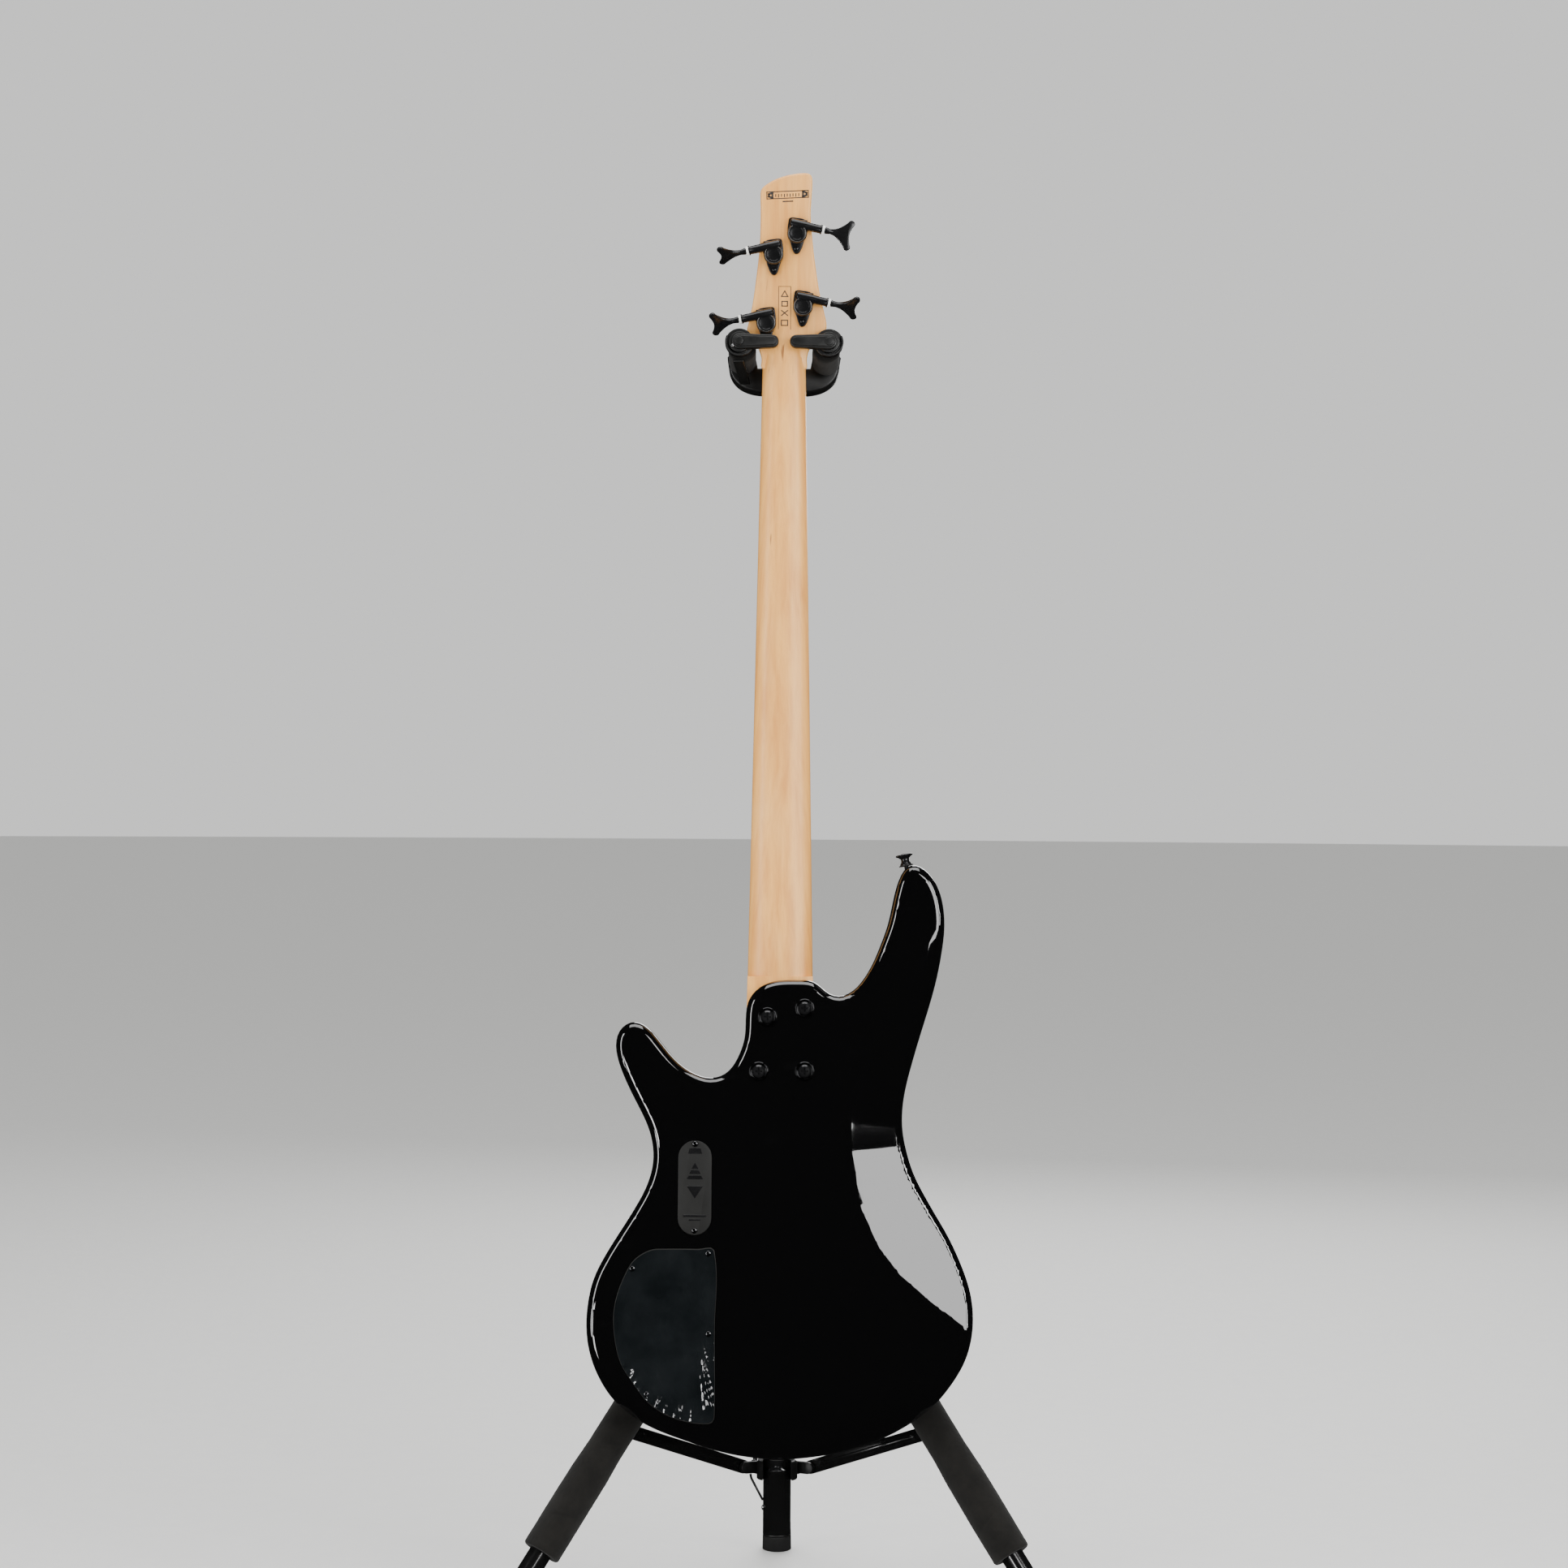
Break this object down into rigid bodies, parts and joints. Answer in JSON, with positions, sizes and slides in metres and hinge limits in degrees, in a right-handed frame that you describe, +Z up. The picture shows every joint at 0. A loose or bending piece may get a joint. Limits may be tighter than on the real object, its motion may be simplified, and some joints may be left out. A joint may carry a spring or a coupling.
{
  "type": "bass guitar on tripod stand",
  "caption": "Electric bass guitar hung by its headstock in a self-closing yoke on a folding tripod floor stand, body resting on foam-sleeved legs.",
  "frame": {"origin": "centre of the footprint on the floor", "axes": "+Z up; -Y is the side that the instrument's back faces; +X to the right seen from there"},
  "size_m": [0.5576, 0.464, 1.3072],
  "materials": {
    "black_lacquer": "solid wood under polished black lacquer, mirror gloss",
    "maple": "satin maple with fine straight grain and fleck",
    "rosewood": "open-grained dark tonewood, oiled",
    "nut_composite": "moulded graphite composite",
    "steel": "plain steel",
    "string_steel": "round-wound steel",
    "black_hardware": "black plated die casting, semi-gloss",
    "black_plastic": "fine-textured moulding",
    "battery_case": "steel can with plain wrap",
    "stand_tube": "black satin tube",
    "stand_plastic": "satin glass-filled moulding",
    "foam": "closed-cell foam, soft matt skin",
    "rubber": "moulded rubber"
  },
  "bodies": {
    "stand_mast": {"lower_tube": "stand_tube", "height_clutch": "stand_plastic", "base_collar": "stand_plastic"},
    "leg_hub": {"leg_hub": "stand_plastic"},
    "leg_front_left": {"leg_front_left": "stand_tube", "foot_front_left": "rubber", "leg_pad_left": "foam"},
    "leg_front_right": {"leg_front_right": "stand_tube", "foot_front_right": "rubber", "leg_pad_right": "foam"},
    "leg_rear": {"leg_rear": "stand_tube", "foot_rear": "rubber"},
    "strut_front_left": {"strut_front_left": "stand_tube"},
    "strut_front_right": {"strut_front_right": "stand_tube"},
    "strut_rear": {"strut_rear": "stand_tube"},
    "upper_mast": {"upper_tube": "stand_tube", "yoke": "stand_plastic", "yoke_pad_left": "foam", "yoke_pad_right": "foam"},
    "gate_left": {"gate_left": "stand_plastic"},
    "gate_right": {"gate_right": "stand_plastic"},
    "guitar": {"body": "black_lacquer", "neck": "maple", "fretboard": "rosewood", "nut": "nut_composite", "truss_rod": "steel", "truss_rod_cover": "black_plastic", "tuner_housing_1": "black_hardware", "tuner_housing_2": "black_hardware", "tuner_housing_3": "black_hardware", "tuner_housing_4": "black_hardware", "string_1": "string_steel", "string_2": "string_steel", "string_3": "string_steel", "string_4": "string_steel", "bridge": "black_hardware", "pickup_neck": "black_plastic", "pickup_bridge": "black_plastic", "output_jack": "black_hardware", "control_cover": "black_plastic", "battery_cover": "black_plastic", "battery": "battery_case", "neck_bolt_1": "black_hardware", "neck_bolt_2": "black_hardware", "neck_bolt_3": "black_hardware", "neck_bolt_4": "black_hardware", "strap_button_upper": "black_hardware", "strap_button_lower": "black_hardware"},
    "tuner_key_1": {"tuner_key_1": "black_hardware"},
    "tuner_post_1": {"tuner_post_1": "black_hardware"},
    "knob_1": {"knob_1": "black_hardware"},
    "tuner_key_2": {"tuner_key_2": "black_hardware"},
    "tuner_post_2": {"tuner_post_2": "black_hardware"},
    "knob_2": {"knob_2": "black_hardware"},
    "tuner_key_3": {"tuner_key_3": "black_hardware"},
    "tuner_post_3": {"tuner_post_3": "black_hardware"},
    "knob_3": {"knob_3": "black_hardware"},
    "tuner_key_4": {"tuner_key_4": "black_hardware"},
    "tuner_post_4": {"tuner_post_4": "black_hardware"},
    "knob_4": {"knob_4": "black_hardware"}
  },
  "joints": [
    {"name": "hub_slide", "type": "slide", "parent": "stand_mast", "child": "leg_hub", "axis": [0, 0.0732, 0.9973], "range_m": [0, 0.1149]},
    {"name": "leg_front_left_fold", "type": "hinge", "parent": "leg_hub", "child": "leg_front_left", "pos_m": [-0.02338, -0.05131, 0.368], "axis": [0.5, -0.8637, 0.0634], "range_deg": [0, 31.02]},
    {"name": "strut_front_left_fold", "type": "hinge", "parent": "stand_mast", "child": "strut_front_left", "pos_m": [-0.02079, -0.06662, 0.13901], "axis": [-0.5, 0.8637, -0.0634], "range_deg": [0, 70.84]},
    {"name": "leg_front_right_fold", "type": "hinge", "parent": "leg_hub", "child": "leg_front_right", "pos_m": [0.02338, -0.05131, 0.368], "axis": [0.5, 0.8637, -0.0634], "range_deg": [0, 31.02]},
    {"name": "strut_front_right_fold", "type": "hinge", "parent": "stand_mast", "child": "strut_front_right", "pos_m": [0.02079, -0.06662, 0.13901], "axis": [-0.5, -0.8637, 0.0634], "range_deg": [0, 70.84]},
    {"name": "leg_rear_fold", "type": "hinge", "parent": "leg_hub", "child": "leg_rear", "pos_m": [0, -0.01092, 0.36503], "axis": [-1, 0, 0], "range_deg": [0, 31.02]},
    {"name": "strut_rear_fold", "type": "hinge", "parent": "stand_mast", "child": "strut_rear", "pos_m": [0, -0.03072, 0.13637], "axis": [1, 0, 0], "range_deg": [0, 70.84]},
    {"name": "mast_height", "type": "slide", "parent": "stand_mast", "child": "upper_mast", "axis": [0, 0.0732, 0.9973], "range_m": [0, 0.1]},
    {"name": "guitar_lift", "type": "slide", "parent": "upper_mast", "child": "guitar", "axis": [0, 0.1097, 0.994], "range_m": [0, 0.06]},
    {"name": "gate_left_swing", "type": "hinge", "parent": "upper_mast", "child": "gate_left", "pos_m": [-0.0405, -0.0573, 1.15355], "axis": [0, -0.9973, 0.0732], "range_deg": [0, 85.02]},
    {"name": "gate_right_swing", "type": "hinge", "parent": "upper_mast", "child": "gate_right", "pos_m": [0.0405, -0.0573, 1.15355], "axis": [0, 0.9973, -0.0732], "range_deg": [0, 85.02]},
    {"name": "tuner_key_1_turn", "type": "hinge", "parent": "guitar", "child": "tuner_key_1", "pos_m": [0.0109, -0.05776, 1.25955], "axis": [0.9781, 0.0098, -0.2077], "continuous": true},
    {"name": "tuner_post_1_turn", "type": "hinge", "parent": "guitar", "child": "tuner_post_1", "pos_m": [0.0109, -0.03719, 1.25222], "axis": [0, 0.9989, 0.0471], "continuous": true},
    {"name": "tuner_key_2_turn", "type": "hinge", "parent": "guitar", "child": "tuner_key_2", "pos_m": [-0.0101, -0.05686, 1.24047], "axis": [-0.9781, 0.0098, -0.2077], "continuous": true},
    {"name": "tuner_post_2_turn", "type": "hinge", "parent": "guitar", "child": "tuner_post_2", "pos_m": [-0.0101, -0.03629, 1.23314], "axis": [0, 0.9989, 0.0471], "continuous": true},
    {"name": "tuner_key_3_turn", "type": "hinge", "parent": "guitar", "child": "tuner_key_3", "pos_m": [0.0166, -0.05468, 1.19433], "axis": [0.9781, 0.0098, -0.2077], "continuous": true},
    {"name": "tuner_post_3_turn", "type": "hinge", "parent": "guitar", "child": "tuner_post_3", "pos_m": [0.0166, -0.03411, 1.18699], "axis": [0, 0.9989, 0.0471], "continuous": true},
    {"name": "tuner_key_4_turn", "type": "hinge", "parent": "guitar", "child": "tuner_key_4", "pos_m": [-0.0164, -0.05396, 1.17914], "axis": [-0.9781, 0.0098, -0.2077], "continuous": true},
    {"name": "tuner_post_4_turn", "type": "hinge", "parent": "guitar", "child": "tuner_post_4", "pos_m": [-0.0164, -0.0334, 1.1718], "axis": [0, 0.9989, 0.0471], "continuous": true},
    {"name": "knob_1_turn", "type": "hinge", "parent": "guitar", "child": "knob_1", "pos_m": [-0.072, -0.11379, 0.35378], "axis": [0, 0.994, -0.1097], "range_deg": [0, 280]},
    {"name": "knob_2_turn", "type": "hinge", "parent": "guitar", "child": "knob_2", "pos_m": [-0.098, -0.11621, 0.33192], "axis": [0, 0.994, -0.1097], "range_deg": [0, 280]},
    {"name": "knob_3_turn", "type": "hinge", "parent": "guitar", "child": "knob_3", "pos_m": [-0.12, -0.1195, 0.3021], "axis": [0, 0.994, -0.1097], "range_deg": [0, 280]},
    {"name": "knob_4_turn", "type": "hinge", "parent": "guitar", "child": "knob_4", "pos_m": [-0.134, -0.12334, 0.26731], "axis": [0, 0.994, -0.1097], "range_deg": [0, 280]}
  ],
  "couplings": [
    {"joint": "leg_front_left_fold", "follows": "hub_slide", "rad_per_m": 4.7089},
    {"joint": "strut_front_left_fold", "follows": "hub_slide", "rad_per_m": 10.757},
    {"joint": "leg_front_right_fold", "follows": "hub_slide", "rad_per_m": 4.7089},
    {"joint": "strut_front_right_fold", "follows": "hub_slide", "rad_per_m": 10.757},
    {"joint": "leg_rear_fold", "follows": "hub_slide", "rad_per_m": 4.7089},
    {"joint": "strut_rear_fold", "follows": "hub_slide", "rad_per_m": 10.757},
    {"joint": "gate_left_swing", "follows": "guitar_lift", "rad_per_m": 24.726},
    {"joint": "gate_right_swing", "follows": "guitar_lift", "rad_per_m": 24.726},
    {"joint": "tuner_post_1_turn", "follows": "tuner_key_1_turn", "ratio": 0.05},
    {"joint": "tuner_post_2_turn", "follows": "tuner_key_2_turn", "ratio": 0.05},
    {"joint": "tuner_post_3_turn", "follows": "tuner_key_3_turn", "ratio": 0.05},
    {"joint": "tuner_post_4_turn", "follows": "tuner_key_4_turn", "ratio": 0.05}
  ]
}
